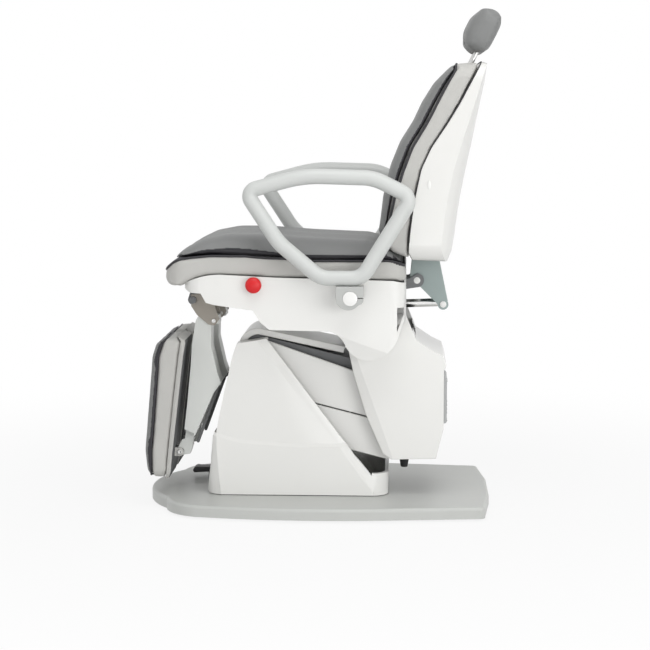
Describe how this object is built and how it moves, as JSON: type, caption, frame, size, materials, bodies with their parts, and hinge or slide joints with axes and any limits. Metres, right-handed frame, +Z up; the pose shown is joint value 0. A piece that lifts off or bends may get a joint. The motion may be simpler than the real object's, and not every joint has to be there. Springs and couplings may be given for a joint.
{
  "type": "podiatry chair",
  "caption": "Podiatry chair on a floor plate with a parallelogram lift, tilting seat, reclining back, swing-up armrests and split leg rests.",
  "frame": {"origin": "on the floor under the middle of the column, at the face of the middle glide", "axes": "+Z up, the front of the chair faces -Y, +X is the patient's left"},
  "size_m": [0.6208, 0.9132, 1.2844],
  "materials": {
    "plate_grey": "satin",
    "glide_rubber": "matte",
    "shell_white": "gloss",
    "seal_black": "matte",
    "frame_steel": "satin",
    "shaft_steel": "satin",
    "pedal_black": "matte",
    "actuator_grey": "satin",
    "rod_chrome": "polished",
    "panel_grey": "matte",
    "bumper_black": "matte",
    "stop_red": "gloss",
    "collar_black": "satin",
    "border_vinyl": "satin",
    "top_vinyl": "satin",
    "armrest_grey": "satin",
    "clamp_grey": "satin",
    "bracket_green": "satin",
    "knee_beige": "satin",
    "leg_grey": "satin",
    "board_dark": "matte",
    "lever_dark": "satin"
  },
  "bodies": {
    "base": {"base_plate": "plate_grey", "base_glides": "glide_rubber", "pedestal_cover": "shell_white", "pedestal_seal": "seal_black", "pedestal_frame": "frame_steel", "pedestal_shafts": "shaft_steel", "foot_pedal_mount": "pedal_black"},
    "pedal": {"foot_pedal": "pedal_black"},
    "lift_arm": {"lift_arm_frame": "frame_steel", "arm_cover_upper": "shell_white", "arm_cover_lower": "shell_white"},
    "link": {"upper_link": "frame_steel", "upper_link_cover": "shell_white"},
    "lift_tube": {"lift_actuator_tube": "actuator_grey"},
    "lift_rod": {"lift_actuator_rod": "rod_chrome"},
    "carriage": {"carriage_cover": "shell_white", "rear_panel": "panel_grey", "carriage_frame": "frame_steel", "carriage_shafts": "shaft_steel", "carriage_bumper": "bumper_black"},
    "tilt_tube": {"tilt_actuator_tube": "actuator_grey"},
    "tilt_rod": {"tilt_actuator_rod": "rod_chrome"},
    "seat": {"seat_frame": "frame_steel", "back_hinge_pin": "shaft_steel", "seat_housing": "shell_white", "estop_collar": "collar_black", "seat_border_pad": "border_vinyl", "seat_top_pad": "top_vinyl", "armrest_shaft": "shaft_steel"},
    "emergency_stop": {"estop_button": "stop_red"},
    "armrest_l": {"armrest_left": "armrest_grey", "armrest_clamp_left": "clamp_grey"},
    "armrest_r": {"armrest_right": "armrest_grey", "armrest_clamp_right": "clamp_grey"},
    "back": {"back_shell": "shell_white", "back_frame": "bracket_green", "back_border_pad": "border_vinyl", "back_top_pad": "top_vinyl"},
    "back_tube": {"back_actuator_tube": "actuator_grey"},
    "back_rod": {"back_actuator_rod": "rod_chrome"},
    "headrest": {"headrest_posts": "shaft_steel", "headrest_pad": "top_vinyl"},
    "leg_l": {"knee_plate_left": "knee_beige", "leg_arm_left": "leg_grey"},
    "lever_l": {"leg_release_lever_left": "lever_dark"},
    "extension_l": {"leg_extension_left": "leg_grey"},
    "leg_pad_l": {"leg_pad_board_left": "board_dark", "leg_pad_border_left": "border_vinyl", "leg_pad_face_left": "top_vinyl"},
    "leg_r": {"knee_plate_right": "knee_beige", "leg_arm_right": "leg_grey"},
    "lever_r": {"leg_release_lever_right": "lever_dark"},
    "extension_r": {"leg_extension_right": "leg_grey"},
    "leg_pad_r": {"leg_pad_board_right": "board_dark", "leg_pad_border_right": "border_vinyl", "leg_pad_face_right": "top_vinyl"}
  },
  "joints": [
    {"name": "lift_arm_turn", "type": "hinge", "parent": "base", "child": "lift_arm", "pos_m": [0, -0.1315, 0.3544], "axis": [1, 0, 0], "range_deg": [0, 50]},
    {"name": "link_turn", "type": "hinge", "parent": "base", "child": "link", "pos_m": [0, -0.18, 0.42], "axis": [1, 0, 0], "range_deg": [0, 50]},
    {"name": "carriage_turn", "type": "hinge", "parent": "lift_arm", "child": "carriage", "pos_m": [0, 0.179, 0.277], "axis": [1, 0, 0], "range_deg": [-50, 0]},
    {"name": "lift_tube_turn", "type": "hinge", "parent": "base", "child": "lift_tube", "pos_m": [0, -0.2, 0.08], "axis": [1, 0, 0], "range_deg": [0, 15]},
    {"name": "lift_rod_turn", "type": "hinge", "parent": "lift_arm", "child": "lift_rod", "pos_m": [0, 0.01894, 0.25506], "axis": [1, 0, 0], "range_deg": [-36, 0]},
    {"name": "seat_tilt", "type": "hinge", "parent": "carriage", "child": "seat", "pos_m": [0, 0.128, 0.478], "axis": [-1, 0, 0], "range_deg": [0, 12]},
    {"name": "tilt_tube_turn", "type": "hinge", "parent": "carriage", "child": "tilt_tube", "pos_m": [0.062, 0.255, 0.32], "axis": [-1, 0, 0], "range_deg": [0, 1]},
    {"name": "tilt_rod_turn", "type": "hinge", "parent": "seat", "child": "tilt_rod", "pos_m": [0.062, 0.17, 0.52], "axis": [-1, 0, 0], "range_deg": [-11.5, 0]},
    {"name": "back_recline", "type": "hinge", "parent": "seat", "child": "back", "pos_m": [0, 0.24, 0.588], "axis": [-1, 0, 0], "range_deg": [0, 60]},
    {"name": "back_tube_turn", "type": "hinge", "parent": "seat", "child": "back_tube", "pos_m": [0, -0.06, 0.512], "axis": [-1, 0, 0], "range_deg": [0, 6.5]},
    {"name": "back_rod_turn", "type": "hinge", "parent": "back", "child": "back_rod", "pos_m": [0, 0.308, 0.525], "axis": [-1, 0, 0], "range_deg": [-54, 0]},
    {"name": "headrest_slide", "type": "slide", "parent": "back", "child": "headrest", "axis": [0, 0.4472, 0.8944], "range_m": [0, 0.06]},
    {"name": "armrest_left_swing", "type": "hinge", "parent": "seat", "child": "armrest_l", "pos_m": [0.285, 0.074, 0.564], "axis": [-1, 0, 0], "range_deg": [0, 75]},
    {"name": "armrest_right_swing", "type": "hinge", "parent": "seat", "child": "armrest_r", "pos_m": [-0.285, 0.074, 0.564], "axis": [-1, 0, 0], "range_deg": [0, 75]},
    {"name": "emergency_stop_press", "type": "slide", "parent": "seat", "child": "emergency_stop", "axis": [-1, 0, 0], "range_m": [0, 0.004], "stiffness_N_per_m": 900, "springref_m": -0.002},
    {"name": "foot_pedal_press", "type": "hinge", "parent": "base", "child": "pedal", "pos_m": [-0.09, -0.312, 0.058], "axis": [1, 0, 0], "range_deg": [0, 8], "stiffness_Nm_per_rad": 2, "springref_deg": -5.73},
    {"name": "leg_left_lift", "type": "hinge", "parent": "seat", "child": "leg_l", "pos_m": [0.09, -0.336, 0.541], "axis": [-1, 0, 0], "range_deg": [0, 83]},
    {"name": "leg_left_release", "type": "hinge", "parent": "leg_l", "child": "lever_l", "pos_m": [0.09, -0.274, 0.318], "axis": [1, 0, 0], "range_deg": [0, 10], "stiffness_Nm_per_rad": 1.5, "springref_deg": -5.73},
    {"name": "leg_left_extend", "type": "slide", "parent": "leg_l", "child": "extension_l", "axis": [0, -0.136, -0.9907], "range_m": [-0.02, 0.03]},
    {"name": "leg_left_pad_tilt", "type": "hinge", "parent": "extension_l", "child": "leg_pad_l", "pos_m": [0.09, -0.376, 0.141], "axis": [1, 0, 0], "range_deg": [0, 15]},
    {"name": "leg_right_lift", "type": "hinge", "parent": "seat", "child": "leg_r", "pos_m": [-0.09, -0.336, 0.541], "axis": [-1, 0, 0], "range_deg": [0, 83]},
    {"name": "leg_right_release", "type": "hinge", "parent": "leg_r", "child": "lever_r", "pos_m": [-0.09, -0.274, 0.318], "axis": [1, 0, 0], "range_deg": [0, 10], "stiffness_Nm_per_rad": 1.5, "springref_deg": -5.73},
    {"name": "leg_right_extend", "type": "slide", "parent": "leg_r", "child": "extension_r", "axis": [0, -0.136, -0.9907], "range_m": [-0.02, 0.03]},
    {"name": "leg_right_pad_tilt", "type": "hinge", "parent": "extension_r", "child": "leg_pad_r", "pos_m": [-0.09, -0.376, 0.141], "axis": [1, 0, 0], "range_deg": [0, 15]}
  ],
  "couplings": [
    {"joint": "link_turn", "follows": "lift_arm_turn", "ratio": 1},
    {"joint": "carriage_turn", "follows": "lift_arm_turn", "ratio": -1},
    {"joint": "lift_tube_turn", "follows": "lift_arm_turn", "ratio": 0.285},
    {"joint": "lift_rod_turn", "follows": "lift_arm_turn", "ratio": -0.715},
    {"joint": "tilt_tube_turn", "follows": "seat_tilt", "ratio": 0.07325},
    {"joint": "tilt_rod_turn", "follows": "seat_tilt", "ratio": -0.92675},
    {"joint": "back_tube_turn", "follows": "back_recline", "ratio": 0.1045},
    {"joint": "back_rod_turn", "follows": "back_recline", "ratio": -0.8955}
  ]
}
